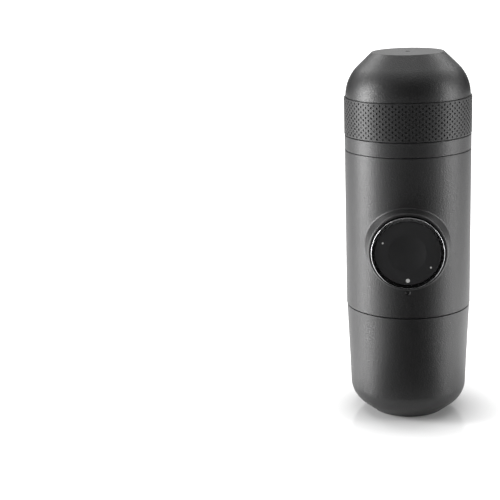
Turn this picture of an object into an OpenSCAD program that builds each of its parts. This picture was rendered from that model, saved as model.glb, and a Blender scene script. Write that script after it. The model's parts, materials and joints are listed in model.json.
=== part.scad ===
// Handheld manual espresso maker, closed and standing on its water tank.
// The axis of the body is Z and the origin is the centre of the flat base.
// The piston lies across the body and points at -Y, the front.

/* [Stack] */
// Height of the water tank, from the base to the lower seam
tank_h = 53.8; // [51:0.1:58]
// Height of the pump body, from the lower seam to the cup
body_h = 75.9; // [74:0.1:82]
// Height of the closed cup above the pump body
cup_h = 45.3; // [43:0.1:50]
// Outside radius of the pump body and of the cup's rim
body_r = 29.85; // [27:0.05:33]
// Wall of the body shell
body_wall = 2.4; // [2.1:0.1:2.7]
// Visible gap at each seam between the outer pieces
seam_gap = 0.2; // [0.15:0.05:0.4]
// Softened edge of the outer pieces at each seam
seam_edge = 0.25; // [0.1:0.05:0.5]

/* [Water tank] */
// How far the tank's rim stands inside the body's side
tank_step = 0.2; // [0:0.05:0.5]
// How far the tank's side draws in from its rim to its rounded bottom
tank_draft = 1.65; // [0.5:0.05:2.5]
// Radius of the arc that rounds the bottom
tank_round_r = 12; // [10:0.5:14]
// Slope of the flank between that arc and the flat base, from the vertical
tank_flank = 51; // [46:1:56]
// Radius of the flat base
tank_flat_r = 18; // [16:0.5:20]
// Wall of the tank
tank_wall = 2.4; // [1.8:0.1:2.8]
// Wall of the tank's mouth, which carries the thread
tank_mouth_wall = 2.95; // [2.6:0.05:3.3]

/* [Cup] */
// Height of the smooth rim below the grip ring
cup_rim_h = 7.0; // [6.2:0.1:9]
// Wall of the cup
cup_wall = 2.25; // [1.9:0.05:2.5]
// Wall of the thin lip that fits over the collar's seal
cup_lip_wall = 1.25; // [1.1:0.05:1.4]
// Height of that lip
cup_lip_h = 4.3; // [3.9:0.1:5]
// Step from the rim in to the foot of the dome
dome_step = 0.55; // [0.35:0.05:0.8]
// Slope of the dome's flank, from the vertical
dome_flank = 46; // [42:1:50]
// Radius of the flat disc that the cup stands on
dome_flat_r = 16.9; // [15.3:0.1:18.6]
// Height of the textured grip ring
grip_h = 18.2; // [16:0.1:19]
// How far the grip ring stands proud of the rim
grip_proud = 0.15; // [0.05:0.05:0.6]
// Thickness of the grip ring
grip_t = 0.9; // [0.7:0.05:1.1]

/* [Outlet head] */
// Gap between the cup and the lower edge of the outlet head
head_gap = 1.1; // [0.8:0.1:1.5]
// Step from that edge in to the foot of the head's dome
head_step = 0.9; // [0.6:0.1:1.3]
// Gap between the outlet end and the inside of the cup's flat end
head_end_gap = 1.45; // [0.9:0.05:2.4]
// Radius of the arc that rounds the outlet head
head_arc_r = 17; // [15:0.5:19]
// Slope of the outlet head's flank, from the vertical
head_flank = 50; // [45:1:55]
// Wall of the outlet head
head_wall = 2.2; // [1.9:0.1:2.4]
// Radius of the recessed end disc
end_disc_r = 13.35; // [12:0.05:14.7]
// Width of the lip round the end disc
end_lip = 0.85; // [0.6:0.05:1.2]
// Radius of the coffee outlet
outlet_hole_r = 3.6; // [3.2:0.1:4]
// Outside radius of the metal ring round the outlet
nozzle_r = 5.15; // [4.6:0.05:5.7]

/* [Threads] */
// Lead of the two-start screw threads
thread_lead = 8; // [7.2:0.1:8.8]
// Height of the thread ribs, across the axis
thread_depth = 0.8; // [0.6:0.05:0.9]
// Radial gap between a rib's crest and the wall facing it
thread_gap = 0.3; // [0.2:0.05:0.4]
// Thickness of a rib at its root, along the axis
rib_t = 1.2; // [0.9:0.05:1.35]

/* [Filter] */
// Width of the flange round the basket
flange_w = 1.7; // [1.5:0.05:2.2]
// Wall of the basket
basket_wall = 1.2; // [1:0.05:1.35]
// Depth of the coffee chamber, from its mouth to its floor
basket_depth = 18.9; // [17:0.1:20.8]
// Thickness of the basket's perforated floor and flange
basket_t = 1.7; // [1.4:0.1:1.9]
// Radius of the holes in the basket's floor
basket_hole_r = 1.1; // [0.8:0.1:1.3]
// Radius of the holes in the metal screens
screen_hole_r = 0.5; // [0.35:0.05:0.6]
// Thickness of the metal screens
screen_t = 0.5; // [0.4:0.05:0.6]

/* [Piston] */
// Height of the piston's axis above the lower seam
piston_up = 34.2; // [31:0.1:37.6]
// How far the front of the knob stands out from the body's side
knob_proud = 10.15; // [9.2:0.05:11.2]
// Outside radius of the knob's chrome rim
knob_r = 16.5; // [15:0.1:18.1]
// Thickness of the knob
knob_t = 3.9; // [3.6:0.1:4.3]
// Width of the chrome rim round the knob's dark face
knob_rim_w = 1.55; // [1.4:0.05:2]
// Radius of the dish in the knob's face
dish_r = 8.5; // [7.5:0.1:9.5]
// Depth of that dish
dish_depth = 1.0; // [0.6:0.1:1.1]
// Wall of the chrome sleeve
sleeve_wall = 0.9; // [0.8:0.05:1]
// Travel of the piston
stroke = 25; // [22:0.5:27]
// Radius of the pump's bore
bore_r = 7.6; // [6.9:0.05:8.3]
// Radius of the plunger's rod
rod_r = 4; // [3.6:0.1:4.4]
// Length of the plunger's head
plunger_len = 6; // [5.4:0.1:6.6]
// Diameter of the return spring's wire
spring_wire = 0.7; // [0.6:0.05:0.8]
// Turns of the return spring
spring_turns = 5; // [4:1:5]
// Half width of the bayonet tabs that lock the piston, in degrees
tab_half = 30; // [26:1:32]
// Half width of the knob's locking lugs, in degrees
lug_half = 22; // [18:1:24]

/* [Boss] */
// Wall of the boss's lip, round the knob
boss_rim = 1.4; // [1.2:0.1:1.9]
// How far the boss flares out from its front edge to its root
boss_flare = 5.1; // [4.5:0.1:5.6]
// Height of the boss's lip above the knob's seat
boss_lip = 1.8; // [1.4:0.1:2.2]

/* [Pump] */
// Distance from the body's axis to the valves, towards the back
port_y = 12.5; // [11.3:0.1:13.7]
// Wall of the pump cylinder
cylinder_wall = 1.7; // [1.5:0.05:1.85]
// Radius of the water ports
port_r = 1.5; // [1.2:0.1:1.7]
// Radius of the two valve columns
column_r = 6; // [5.5:0.1:6.6]
// Radius of the valve chambers
valve_r = 4.5; // [4.1:0.1:4.9]
// Thickness of the two bulkheads
bulkhead_t = 3; // [2.6:0.1:3.3]
// Distance of the lower screws from the middle plane
lower_screw_x = 12.5; // [11.5:0.1:13.5]
// Distance from the shell's inside to the upper screws' axes
upper_screw_inset = 3.44; // [3.1:0.02:3.8]
// Radius of the screws' shanks
screw_r = 1.5; // [1.3:0.05:1.65]
// Radius of the screws' heads
screw_head_r = 2.8; // [2.5:0.1:3.1]

/* [Hidden] */
$fn = 96;

cut = 1;           // how far a cutter runs past the face it opens
fixed_gap = 0.05;  // between pieces that are bonded, snapped or pressed together
running_gap = 0.06; // radial clearance of a running fit
seal_gap = 0.1;    // between a seal and the groove that holds it
free_gap = 0.3;    // between pieces that slide past each other
hole_gap = 0.2;    // radial clearance of a screw in its hole
arc_steps = 14;

// Heights of the seams and of the top
seam_z = tank_h;
rim_z = tank_h + body_h;
top_z = rim_z + cup_h;
shell_r = body_r - body_wall;
fit_r = shell_r - fixed_gap;

// Tank
tank_top_r = body_r - tank_step;
tank_low_r = tank_top_r - tank_draft;
tank_round_c = tank_low_r - tank_round_r;
tank_round_z = tank_round_r * sin(tank_flank)
    + (tank_round_c + tank_round_r * cos(tank_flank) - tank_flat_r) / tan(tank_flank);
tank_floor = 2.6;

// Lower neck and the tank's mouth
neck_wall = 2;
neck_h = 10.5;
tank_bore_r = tank_top_r - tank_mouth_wall;
neck_r = tank_bore_r - thread_gap - thread_depth;
neck_bore_r = neck_r - neck_wall;
tank_seal_drop = 1.7;
tank_groove_h = 1.8;
tank_groove_lip = 1;
seal_z = seam_z - tank_seal_drop;
seal_floor_r = neck_r - 0.6;
thread_z = seam_z - 9.3;
skirt_h = 4.2;
lower_plate_z = seam_z + skirt_h;
lower_top_z = lower_plate_z + bulkhead_t;
filter_bed = 1;
filter_r = 5;

// Cup
cup_z = rim_z + seam_gap;
cup_in_r = body_r - cup_wall;
cup_lip_r = body_r - cup_lip_wall;
grip_r = body_r + grip_proud;
grip_z = rim_z + cup_rim_h;
grip_top_z = grip_z + grip_h;
grip_bed_r = grip_r - grip_t - fixed_gap;
grip_shoulder = 0.35;
cup_inner_step = 6;
flat_edge = 0.5;
dome_r = body_r - dome_step;
dome_arc_r = (top_z - grip_top_z - (dome_r - dome_flat_r) / tan(dome_flank)) / tan(dome_flank / 2);
dome_c = dome_r - dome_arc_r;

// Collar and upper neck
collar_h = 6.3;
collar_wall = 2.2;
collar_seat_r = cup_lip_r - free_gap;
collar_ring_r = cup_in_r - free_gap;
cup_groove_z = rim_z + 1.9;
cup_groove_h = 1.9;
cup_seal_floor_r = collar_ring_r - 0.3;
head_foot_r = cup_in_r - head_gap;
head_skirt_wall = 2.4;
head_bore_r = head_foot_r - head_skirt_wall;
upper_neck_r = head_bore_r - thread_gap - thread_depth;
upper_neck_wall = 1.6;
upper_neck_bore_r = upper_neck_r - upper_neck_wall;
upper_neck_h = 7.5;
upper_neck_top = rim_z + collar_h + upper_neck_h;
upper_thread_z = rim_z + 7.5;

// Filter basket
flange_r = upper_neck_bore_r - free_gap;
basket_out_r = flange_r - flange_w;
basket_r = basket_out_r - basket_wall;
basket_rim_w = 2.2;
shoulder_z = rim_z + 0.3;
shoulder_t = 2.3;
basket_floor_z = shoulder_z + basket_depth;
basket_top_z = basket_floor_z + basket_t;
gasket_z = shoulder_z + basket_t + seal_gap;
gasket_h = 1.9;
skirt_in_r = basket_out_r + 0.4;

// Outlet head
head_z = rim_z + collar_h + free_gap;
head_edge = 0.4;
head_top_z = top_z - cup_wall - head_end_gap;
head_dome_r = head_foot_r - head_step;
head_flat_r = end_disc_r + end_lip;
head_round_c = head_dome_r - head_arc_r;
head_round_z = head_top_z - head_arc_r * sin(head_flank)
    - (head_round_c + head_arc_r * cos(head_flank) - head_flat_r) / tan(head_flank);
head_in_arc = head_arc_r - head_wall;
web_z = upper_neck_top + 2;
web_t = 2;
disc_drop = 2.5;
disc_t = 2;
disc_bed_w = 1.2;
disc_bed_z = head_top_z - disc_drop;
ledge_t = 2.2;
nozzle_bed = 0.5;
nozzle_bed_z = disc_bed_z + nozzle_bed;
nozzle_proud = 0.3;
funnel_t = 1.4;
funnel_rim_w = 1.5;
funnel_tube_wall = 1.1;
funnel_tube_h = 4.8;
funnel_z = basket_top_z + 3.4;

// Bulkheads and shower plate
upper_plate_z = rim_z - 17.7;
upper_top_z = upper_plate_z + bulkhead_t;
drum_r = basket_r - 0.2;
drum_wall = 1.6;
drum_top_z = shoulder_z - 2.6;
chamber_h = 3.4;
chamber_t = 2;
chamber_z = drum_top_z - chamber_h;
plate_t = 0.8;
post_r = 3.2;
screw_head_h = 2;
shower_head_h = 1.4;
shower_screw_len = 8;
upper_screw_x = sqrt(pow(shell_r - upper_screw_inset, 2) - pow(port_y, 2));

// Pump
pump_flange_h = 3;
pump_flange_w = 14;
flange_margin = 4;
valve_room = 8;
vent_head_r = 4;
vent_stem_r = 1.5;
vent_bead_r = 2.2;
vent_bead_h = 1.2;

// Piston, as distances in front of the body's axis
piston_z = seam_z + piston_up;
knob_front = body_r + knob_proud;
knob_back_d = knob_front - knob_t;
seat_d = knob_back_d - 0.1;
knob_gap = 0.4;
knob_plate_t = 1.5;
knob_cap_r = knob_r - knob_rim_w;
knob_edge = 1.1;
knob_back_edge = 0.6;
cap_edge = 0.3;
cap_face_d = knob_front - cap_edge;
cap_back_d = knob_back_d + knob_plate_t + fixed_gap;
countersink = 1.3;
cylinder_r = bore_r + cylinder_wall;
sleeve_in_r = cylinder_r + free_gap;
sleeve_r = sleeve_in_r + sleeve_wall;
hub_r = sleeve_r + 0.7;
hub_h = 2.8;
lug_r = hub_r + 1;
lug_t = 1.2;
lug_h = 2.6;
pocket_r = lug_r + 0.2;
pocket_h = 3.4;
pocket_d = seat_d - pocket_h;
tab_r = hub_r + 0.25;
tab_t = 1;
guide_r = lug_r + 1.2;
guide_len = 10;
guide_back_d = seat_d - guide_len;
wiper_d = guide_back_d + 2.8;
wiper_groove = 1.7;
plug_face_d = -(port_y + 4.5);
plug_t = 4;
plug_r = bore_r + 0.8;
spring_room = 7;
plunger_back_d = plug_face_d + spring_room;
plunger_front_d = plunger_back_d + plunger_len;
plunger_gap = 0.4;
plunger_groove = 1.8;
bush_t = 3;
stroke_spare = 2;
cylinder_front_d = plunger_front_d + stroke + stroke_spare + bush_t;
sleeve_spare = 2.1;
sleeve_back_d = knob_back_d - stroke - guide_len - sleeve_spare;

// Boss
boss_r = knob_r + knob_gap + boss_rim;
boss_root_r = boss_r + boss_flare;
boss_front_d = seat_d + boss_lip;
boss_wall_d = sqrt(pow(body_r, 2) - pow(boss_root_r, 2));
boss_edge = 0.6;
inner_tube_wall = 2.1;
index_r = 0.8;
index_depth = 0.4;
index_drop = boss_r + 3.2;

// ---- Shared shapes ----

module tube_z(outer_r, inner_r, low, high) {
    translate([0, 0, low]) difference() {
        cylinder(r = outer_r, h = high - low);
        translate([0, 0, -cut]) cylinder(r = inner_r, h = high - low + 2 * cut);
    }
}

module disc_z(radius, low, high) translate([0, 0, low]) cylinder(r = radius, h = high - low);

module o_ring(mid_r, wire_r) rotate_extrude() translate([mid_r, 0]) circle(r = wire_r, $fn = 32);

// What is drawn along +Z here lies along the piston's axis, measured towards the front
module on_piston_axis() translate([0, 0, piston_z]) rotate([90, 0, 0]) children();

// Points of an arc that turns from the vertical to the slope, about [centre_r, centre_z]
function round_points(centre_r, centre_z, radius, slope, up) =
    [for (i = [0:arc_steps]) [centre_r + radius * cos(slope * i / arc_steps),
        centre_z + up * radius * sin(slope * i / arc_steps)]];

// Radius of the flank that follows the arc, at a height
function flank_r(centre_r, centre_z, radius, slope, up, z) = centre_r + radius * cos(slope)
    - (up * (z - centre_z) - radius * sin(slope)) * tan(slope);

// Radius at a height, on the wall below the arc, on the arc or on the flank above it
function round_r(centre_r, centre_z, radius, slope, z) =
    z <= centre_z ? centre_r + radius
    : z - centre_z < radius * sin(slope) ? centre_r + sqrt(pow(radius, 2) - pow(z - centre_z, 2))
    : flank_r(centre_r, centre_z, radius, slope, 1, z);

// One stretch of thread rib, flat, with its root sunk in the wall
module rib(root_r, crest_r, sweep) {
    sunk = thread_depth / 2;
    sunk_r = root_r + (root_r > crest_r ? sunk : -sunk);
    rotate([0, 0, -sweep / 2]) rotate_extrude(angle = sweep) polygon([
        [sunk_r, -rib_t * 0.6], [crest_r, -rib_t / 3], [crest_r, rib_t / 3], [sunk_r, rib_t * 0.6]
    ]);
}

// Two-start interrupted thread: short ribs that climb by the lead in one turn
module thread_ribs(root_r, crest_r, z) {
    stretches = 5;
    pitch_angle = 22;
    sweep = 15;
    for (start = [20, 200], i = [0:stretches - 1])
        translate([0, 0, z + thread_lead * i * pitch_angle / 360])
            rotate([0, 0, start + i * pitch_angle]) rib(root_r, crest_r, sweep);
}

// Rings of round holes, drawn as pins to cut with: each ring has six more than the last
module hole_rings(rings, spacing, hole_r, low, high) {
    disc_z(hole_r, low, high);
    for (ring = [1:rings], i = [0:6 * ring - 1])
        rotate([0, 0, i * 60 / ring]) translate([ring * spacing, 0, 0]) disc_z(hole_r, low, high);
}

// Pan-head screw along Z, from the outer face of its head to the end of its shank
module pan_screw(outer_face, shank_end, head_h) {
    up = shank_end > outer_face ? 1 : -1;
    head_face = outer_face + up * head_h;
    difference() {
        disc_z(screw_head_r, min(outer_face, head_face), max(outer_face, head_face));
        translate([0, 0, outer_face]) cylinder(r = screw_r * 0.9, h = head_h, center = true, $fn = 6);
    }
    disc_z(screw_r, min(head_face, shank_end) - (up > 0 ? fixed_gap : 0),
        max(head_face, shank_end) + (up > 0 ? 0 : fixed_gap));
}

// Duckbill valve that lets water upwards: flange, round throat and flat lips
module duckbill(low) {
    throat_r = valve_r * 0.62;
    flange_t = 1.2;
    throat_h = 2.6;
    lip_h = 3;
    slit = 0.2;
    disc_z(valve_r - 0.2, low, low + flange_t);
    translate([0, 0, low + flange_t]) difference() {
        intersection() {
            cylinder(r = throat_r, h = throat_h + lip_h);
            rotate([90, 0, 0]) linear_extrude(2 * valve_r, center = true) polygon([
                [-throat_r, 0], [throat_r, 0], [throat_r, throat_h],
                [0.7, throat_h + lip_h], [-0.7, throat_h + lip_h], [-throat_r, throat_h]
            ]);
        }
        translate([-slit / 2, -throat_r * 0.7, throat_h])
            cube([slit, throat_r * 1.4, lip_h + cut]);
        translate([0, 0, -cut]) cylinder(r = throat_r - 0.9, h = throat_h + cut);
    }
}

// ---- Cup ----

module espresso_cup() color([0.24, 0.24, 0.25]) {
    in_arc = dome_arc_r - cup_wall;
    in_top = top_z - cup_wall;
    rotate_extrude() polygon(concat(
        [[cup_lip_r, cup_z], [body_r - seam_edge, cup_z], [body_r, cup_z + seam_edge],
         [body_r, grip_z - grip_shoulder], [body_r - grip_shoulder, grip_z],
         [grip_bed_r, grip_z], [grip_bed_r, grip_top_z]],
        round_points(dome_c, grip_top_z, dome_arc_r, dome_flank, 1),
        [[flank_r(dome_c, grip_top_z, dome_arc_r, dome_flank, 1, top_z - flat_edge), top_z - flat_edge],
         [dome_flat_r - flat_edge, top_z], [0, top_z], [0, in_top],
         [flank_r(dome_c, grip_top_z, in_arc, dome_flank, 1, in_top), in_top]],
        [for (i = [0:arc_steps])
            round_points(dome_c, grip_top_z, in_arc, dome_flank, 1)[arc_steps - i]],
        [[cup_in_r, grip_top_z - cup_inner_step], [cup_in_r, cup_z + cup_lip_h],
         [cup_lip_r, cup_z + cup_lip_h]]
    ));
}

module cup_grip_ring() color([0.2, 0.2, 0.21]) {
    edge = 0.4;
    inner = grip_r - grip_t;
    low = grip_z + fixed_gap;
    high = grip_top_z - fixed_gap;
    rotate_extrude() polygon([
        [inner, low], [grip_r - edge, low], [grip_r, low + edge],
        [grip_r, high - edge], [grip_r - edge, high], [inner, high]
    ]);
}

// ---- Outlet head ----

module outlet_head() color([0.23, 0.23, 0.24]) {
    in_top = disc_bed_z - ledge_t;
    difference() {
        rotate_extrude() polygon(concat(
            [[0, head_z], [head_foot_r - head_edge, head_z], [head_foot_r, head_z + head_edge]],
            round_points(head_round_c, head_round_z, head_arc_r, head_flank, 1),
            [[head_flat_r, head_top_z], [0, head_top_z]]
        ));
        rotate_extrude() polygon(concat(
            [[0, web_z + web_t], [head_bore_r, web_z + web_t]],
            round_points(head_round_c, head_round_z, head_in_arc, head_flank, 1),
            [[flank_r(head_round_c, head_round_z, head_in_arc, head_flank, 1, in_top), in_top],
             [0, in_top]]
        ));
        disc_z(head_bore_r, head_z - cut, web_z);
        disc_z(skirt_in_r, web_z - cut, web_z + web_t + cut);
        disc_z(end_disc_r - disc_bed_w, in_top - cut, head_top_z + cut);
        disc_z(end_disc_r + fixed_gap, disc_bed_z, head_top_z + cut);
    }
    tube_z(flange_r, skirt_in_r, gasket_z + gasket_h + seal_gap, web_z + web_t);
    thread_ribs(head_bore_r, head_bore_r - thread_depth, upper_thread_z + thread_lead / 4);
}

module outlet_end_disc() color([0.18, 0.18, 0.19]) difference() {
    edge = 0.3;
    rotate_extrude() polygon([
        [outlet_hole_r + seal_gap, disc_bed_z], [end_disc_r, disc_bed_z],
        [end_disc_r, disc_bed_z + disc_t - edge], [end_disc_r - edge, disc_bed_z + disc_t],
        [outlet_hole_r + seal_gap, disc_bed_z + disc_t]
    ]);
    disc_z(nozzle_r + fixed_gap, nozzle_bed_z, disc_bed_z + disc_t + cut);
}

module nozzle_ring() color([0.8, 0.8, 0.82]) {
    high = disc_bed_z + disc_t + nozzle_proud;
    edge = 0.35;
    rotate_extrude() polygon([
        [outlet_hole_r, nozzle_bed_z], [nozzle_r, nozzle_bed_z], [nozzle_r, high - edge],
        [nozzle_r - edge, high], [outlet_hole_r + edge, high], [outlet_hole_r, high - edge]
    ]);
}

module outlet_funnel() color([0.15, 0.15, 0.16]) {
    rim_r = round_r(head_round_c, head_round_z, head_in_arc, head_flank, funnel_z) - seal_gap;
    tube_in = outlet_hole_r - seal_gap;
    tube_out = tube_in + funnel_tube_wall;
    tube_z = disc_bed_z - funnel_tube_h;
    rotate_extrude() polygon([
        [rim_r - funnel_rim_w, funnel_z - funnel_rim_w], [rim_r, funnel_z - funnel_rim_w],
        [rim_r, funnel_z], [tube_out, tube_z], [tube_out, disc_bed_z - fixed_gap],
        [tube_in, disc_bed_z - fixed_gap], [tube_in, tube_z - funnel_t],
        [rim_r - funnel_rim_w, funnel_z - funnel_rim_w * 0.4]
    ]);
}

module head_gasket() color([0.1, 0.1, 0.1])
    tube_z(flange_r - seal_gap, skirt_in_r - seal_gap, gasket_z, gasket_z + gasket_h);

// ---- Filter ----

module filter_basket() color([0.16, 0.16, 0.17]) {
    hole_spacing = (basket_r - basket_rim_w) / 3;
    difference() {
        disc_z(basket_out_r, shoulder_z, basket_top_z);
        disc_z(basket_r, shoulder_z - cut, basket_floor_z);
        hole_rings(3, hole_spacing, basket_hole_r, basket_floor_z - cut, basket_top_z + cut);
    }
    tube_z(flange_r, basket_r + basket_wall / 2, shoulder_z, shoulder_z + basket_t);
}

module basket_screen() color([0.75, 0.75, 0.77]) difference() {
    high = basket_floor_z - fixed_gap;
    low = high - screen_t;
    disc_z(basket_r - seal_gap, low, high);
    hole_rings(4, (basket_r - basket_rim_w) / 4, screen_hole_r, low - cut, high + cut);
}

// ---- Pump body ----

module body_shell() color([0.25, 0.25, 0.26]) {
    difference() {
        union() {
            translate([0, 0, seam_z]) rotate_extrude() polygon([
                [0, 0], [body_r - seam_edge, 0], [body_r, seam_edge],
                [body_r, body_h - seam_edge], [body_r - seam_edge, body_h], [0, body_h]
            ]);
            boss();
        }
        disc_z(shell_r, seam_z - cut, rim_z + cut);
        boss_bores();
        index_mark();
    }
    guide_socket();
}

// Round boss that carries the piston: a flared cone with a soft front edge
module boss() on_piston_axis() rotate_extrude() polygon([
    [0, boss_wall_d - 2 * cut], [boss_root_r, boss_wall_d - 2 * cut], [boss_root_r, boss_wall_d],
    [boss_r + 0.35 * boss_flare, (boss_wall_d + boss_front_d) / 2],
    [boss_r, boss_front_d - boss_edge], [boss_r - boss_edge, boss_front_d], [0, boss_front_d]
]);

module boss_bores() on_piston_axis() {
    disc_z(knob_r + knob_gap, seat_d, knob_front + cut);
    disc_z(guide_r + fixed_gap, 0, seat_d + cut);
}

// Tube inside the boss that holds the guide ring, cut to the round of the shell's wall
module guide_socket() on_piston_axis() difference() {
    tube_z(guide_r + inner_tube_wall, guide_r + fixed_gap, guide_back_d, seat_d);
    difference() {
        translate([0, 0, shell_r]) cube([4 * body_r, 4 * body_r, 2 * body_r], center = true);
        rotate([90, 0, 0]) cylinder(r = shell_r + body_wall / 2, h = 4 * body_r, center = true);
    }
}

// Small round index below the boss, for the knob's dot to line up with
module index_mark() translate([0, 0, piston_z - index_drop]) rotate([90, 0, 0])
    disc_z(index_r, body_r - index_depth, body_r + cut);

// Glossy collar: the ring that the cup slides over, and the neck for the outlet head
module neck_collar() color([0.05, 0.05, 0.05]) {
    edge = 0.2;
    low = upper_top_z + fixed_gap;
    outer_low = upper_top_z + screw_head_h + 0.6;
    top = rim_z + collar_h;
    groove_top = cup_groove_z + cup_groove_h;
    rim_wall = 1.8;
    rotate_extrude() polygon([
        [fit_r - collar_wall, outer_low], [fit_r, outer_low], [fit_r, rim_z + fixed_gap],
        [collar_seat_r - edge, rim_z + fixed_gap], [collar_seat_r, rim_z + fixed_gap + edge],
        [collar_seat_r, cup_groove_z - edge], [collar_seat_r - edge, cup_groove_z],
        [cup_seal_floor_r, cup_groove_z], [cup_seal_floor_r, groove_top],
        [collar_ring_r - edge, groove_top], [collar_ring_r, groove_top + edge],
        [collar_ring_r, top - 4 * edge], [collar_ring_r - 3 * edge, top], [upper_neck_r, top],
        [upper_neck_r, upper_neck_top - 2 * edge], [upper_neck_r - 2 * edge, upper_neck_top],
        [upper_neck_bore_r, upper_neck_top], [upper_neck_bore_r, shoulder_z - fixed_gap],
        [basket_r, shoulder_z - fixed_gap], [basket_r, low], [basket_r + rim_wall, low],
        [basket_r + rim_wall, shoulder_z - shoulder_t], [fit_r - collar_wall, shoulder_z - shoulder_t]
    ]);
    thread_ribs(upper_neck_r, upper_neck_r + thread_depth, upper_thread_z);
}

module cup_seal() color([0.08, 0.08, 0.08]) {
    outer = cup_lip_r - seal_gap;
    inner = cup_seal_floor_r + seal_gap;
    translate([0, 0, cup_groove_z + cup_groove_h / 2]) o_ring((outer + inner) / 2, (outer - inner) / 2);
}

module upper_bulkhead() color([0.3, 0.3, 0.31]) difference() {
    union() {
        difference() {
            union() {
                disc_z(fit_r, upper_plate_z, upper_top_z);
                disc_z(drum_r - fixed_gap, upper_plate_z, chamber_z);
            }
            disc_z(drum_r - drum_wall, upper_plate_z - cut, chamber_z - chamber_t);
        }
        tube_z(drum_r - fixed_gap, drum_r - drum_wall, chamber_z - chamber_t / 2, drum_top_z);
        disc_z(post_r, chamber_z - shower_screw_len, drum_top_z);
        intersection() {
            translate([0, port_y, 0]) disc_z(column_r + 0.8, upper_plate_z, upper_top_z);
            disc_z(drum_r - drum_wall / 2, upper_plate_z, upper_top_z);
        }
        translate([0, port_y, 0]) disc_z(port_r + drum_wall, upper_plate_z, chamber_z - chamber_t / 2);
    }
    translate([0, port_y, 0]) disc_z(port_r, upper_plate_z - cut, chamber_z + cut);
    disc_z(screw_r + fixed_gap, drum_top_z - shower_screw_len - cut, drum_top_z + cut);
    for (x = [-upper_screw_x, upper_screw_x])
        translate([x, port_y, 0]) disc_z(screw_r + hole_gap, upper_plate_z - cut, upper_top_z + cut);
}

module shower_plate() color([0.75, 0.75, 0.77]) difference() {
    low = drum_top_z + fixed_gap;
    high = low + plate_t;
    hole_rings_r = drum_r - basket_rim_w;
    disc_z(drum_r - seal_gap, low, high);
    for (ring = [2:4], i = [0:6 * ring - 1]) rotate([0, 0, i * 60 / ring])
        translate([ring * hole_rings_r / 4, 0, 0]) disc_z(screen_hole_r, low - cut, high + cut);
    disc_z(screw_r + hole_gap, low - cut, high + cut);
}

module shower_screw() color([0.7, 0.7, 0.72]) pan_screw(
    drum_top_z + plate_t + 2 * fixed_gap + shower_head_h, drum_top_z - shower_screw_len, shower_head_h);

// One moulding: the cylinder across the body, two valve columns and two flanges
module pump_cylinder() color([0.85, 0.85, 0.82]) difference() {
    union() {
        on_piston_axis() disc_z(cylinder_r, plug_face_d - plug_t, cylinder_front_d);
        translate([0, port_y, 0])
            disc_z(column_r, lower_top_z + fixed_gap, upper_plate_z - fixed_gap);
        pump_flange(lower_screw_x + flange_margin, lower_top_z + fixed_gap, lower_top_z + pump_flange_h);
        pump_flange(upper_screw_x + flange_margin, upper_plate_z - pump_flange_h, upper_plate_z - fixed_gap);
    }
    on_piston_axis() {
        disc_z(bore_r, plug_face_d - cut, cylinder_front_d + cut);
        disc_z(plug_r, plug_face_d - plug_t - cut, plug_face_d);
    }
    translate([0, port_y, 0]) {
        disc_z(port_r, lower_top_z, piston_z);
        disc_z(port_r, piston_z, upper_plate_z);
        disc_z(valve_r, lower_top_z - cut, lower_top_z + valve_room);
        disc_z(valve_r, upper_plate_z - valve_room, upper_plate_z + cut);
    }
    for (x = [-1, 1]) translate([0, port_y, 0]) {
        translate([x * lower_screw_x, 0, 0])
            disc_z(screw_r + fixed_gap, lower_top_z - cut, lower_top_z + pump_flange_h + cut);
        translate([x * upper_screw_x, 0, 0])
            disc_z(screw_r + fixed_gap, upper_plate_z - pump_flange_h - cut, upper_plate_z + cut);
    }
}

module pump_flange(half_x, low, high) intersection() {
    translate([-half_x, port_y - pump_flange_w / 2, low])
        cube([2 * half_x, pump_flange_w, high - low]);
    disc_z(shell_r - 0.5, low - cut, high + cut);
}

module cylinder_end_plug() color([0.3, 0.3, 0.31]) on_piston_axis() difference() {
    disc_z(plug_r - fixed_gap, plug_face_d - plug_t, plug_face_d - fixed_gap);
    translate([0, 0, plug_face_d - plug_t]) cube([1.6, 2 * bore_r, 2], center = true);
}

module rod_bush() color([0.9, 0.9, 0.86]) on_piston_axis()
    tube_z(bore_r - fixed_gap, rod_r + running_gap, cylinder_front_d - bush_t, cylinder_front_d);

module inlet_valve() color([0.75, 0.3, 0.25])
    translate([0, port_y, 0]) duckbill(lower_top_z + fixed_gap);

module outlet_valve() color([0.75, 0.3, 0.25])
    translate([0, port_y, 0]) duckbill(upper_plate_z - valve_room + fixed_gap);

// Floor of the pump body, with the threaded neck that the tank screws onto
module lower_bulkhead() color([0.06, 0.06, 0.06]) {
    lip_r = neck_r + thread_depth;
    neck_end = seam_z - neck_h;
    groove = tank_groove_h / 2;
    difference() {
        union() {
            disc_z(fit_r, lower_plate_z, lower_top_z);
            tube_z(fit_r, neck_bore_r, seam_z, lower_plate_z + cut);
            rotate_extrude() polygon([
                [neck_bore_r, neck_end], [neck_r - head_edge, neck_end], [neck_r, neck_end + head_edge],
                [neck_r, seal_z - groove - tank_groove_lip], [lip_r, seal_z - groove - tank_groove_lip],
                [lip_r, seal_z - groove], [seal_floor_r, seal_z - groove],
                [seal_floor_r, seal_z + groove], [lip_r, seal_z + groove],
                [lip_r, seam_z + cut], [neck_bore_r, seam_z + cut]
            ]);
        }
        translate([0, port_y, 0]) {
            disc_z(port_r + 0.7, lower_plate_z - cut, lower_top_z + cut);
            disc_z(filter_r + seal_gap, lower_plate_z - cut, lower_plate_z + filter_bed);
        }
        translate([0, -port_y, 0]) disc_z(vent_stem_r + seal_gap, lower_plate_z - cut, lower_top_z + cut);
        for (x = [-lower_screw_x, lower_screw_x]) translate([x, port_y, 0])
            disc_z(screw_r + hole_gap, lower_plate_z - cut, lower_top_z + cut);
    }
    thread_ribs(neck_r, neck_r + thread_depth, thread_z);
}

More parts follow.
